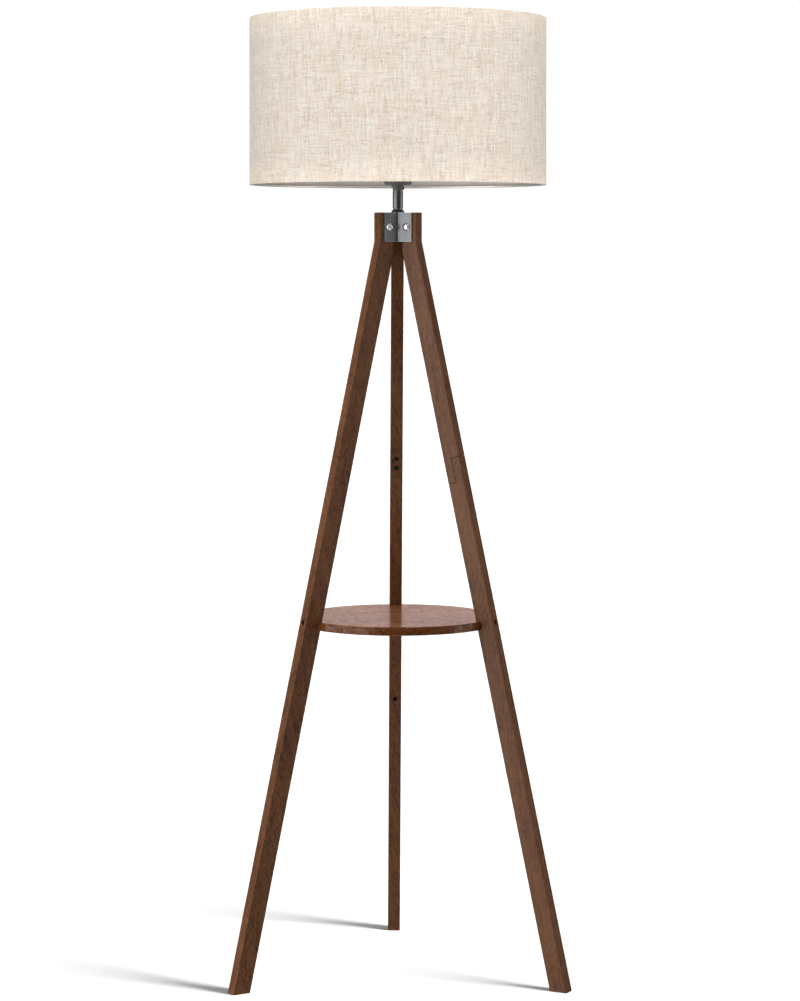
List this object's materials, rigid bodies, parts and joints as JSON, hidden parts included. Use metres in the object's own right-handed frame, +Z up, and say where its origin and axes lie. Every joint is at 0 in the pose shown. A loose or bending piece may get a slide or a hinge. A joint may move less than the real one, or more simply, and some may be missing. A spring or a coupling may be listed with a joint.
{
  "type": "tripod floor lamp",
  "caption": "Floor lamp on three splayed wooden legs with a round shelf between them, a steel leg bracket and a linen drum shade.",
  "frame": {"origin": "on the floor, at the middle of the overall box; the lamp's own upright axis stands 31.7 mm in front of it, at x = 0, y = -0.031665", "axes": "+Z up along the lamp's axis, -Y towards the front, between the two front legs, +X to the right seen from the front"},
  "size_m": [0.508, 0.5134, 1.4459],
  "materials": {
    "walnut": "walnut-stained solid wood, satin lacquer",
    "brushed_steel": "satin steel plate",
    "chrome": "polished",
    "black_nickel": "gloss gunmetal plating",
    "zinc": "zinc plated",
    "screw_black": "black oxide",
    "linen": "flax linen weave",
    "liner": "translucent styrene sheet",
    "black_plastic": "moulded",
    "porcelain": "glazed",
    "brass": "plain",
    "aluminium": "pressed",
    "frosted_glass": "frosted"
  },
  "bodies": {
    "stand": {"shelf": "walnut", "upper_leg_left": "walnut", "upper_leg_right": "walnut", "upper_leg_rear": "walnut", "lower_leg_left": "walnut", "lower_leg_right": "walnut", "lower_leg_rear": "walnut", "bracket": "brushed_steel", "leg_bolt_left": "chrome", "leg_bolt_right": "chrome", "leg_bolt_rear": "chrome", "leg_nut_left": "chrome", "leg_nut_right": "chrome", "leg_nut_rear": "chrome", "stem_tube": "black_nickel", "base_collar": "black_nickel", "threaded_pipe": "zinc", "hub_lock_nut": "zinc", "cap_lock_nut": "zinc", "lap_screw_left_1": "screw_black", "lap_screw_left_2": "screw_black", "lap_screw_right_1": "screw_black", "lap_screw_right_2": "screw_black", "lap_screw_rear_1": "screw_black", "lap_screw_rear_2": "screw_black", "shelf_screw_left": "screw_black", "shelf_screw_right": "screw_black", "shelf_screw_rear": "screw_black", "cap_set_screw": "screw_black", "socket_cap": "black_plastic", "socket_body": "black_plastic", "stem_trim_ring": "black_plastic", "cord_bushing": "black_plastic", "socket_insulator": "porcelain", "socket_screw_shell": "brass", "socket_contact": "brass"},
    "shade": {"shade_cover": "linen", "shade_liner": "liner", "shade_top_ring": "zinc", "shade_spider": "zinc"},
    "ring_nut": {"shade_ring_nut": "black_plastic"},
    "bulb": {"bulb_globe": "frosted_glass", "bulb_cap": "aluminium", "bulb_insulator": "black_plastic", "bulb_tip_contact": "brass"}
  },
  "joints": [
    {"name": "shade_turn", "type": "hinge", "parent": "stand", "child": "shade", "pos_m": [0, -0.03166, 1.2], "axis": [0, 0, 1], "continuous": true},
    {"name": "ring_nut_turn", "type": "hinge", "parent": "stand", "child": "ring_nut", "pos_m": [0, -0.03166, 1.205], "axis": [0, 0, 1], "range_deg": [0, 1080]},
    {"name": "bulb_turn", "type": "hinge", "parent": "stand", "child": "bulb", "pos_m": [0, -0.03166, 1.233], "axis": [0, 0, 1], "range_deg": [0, 900]}
  ]
}
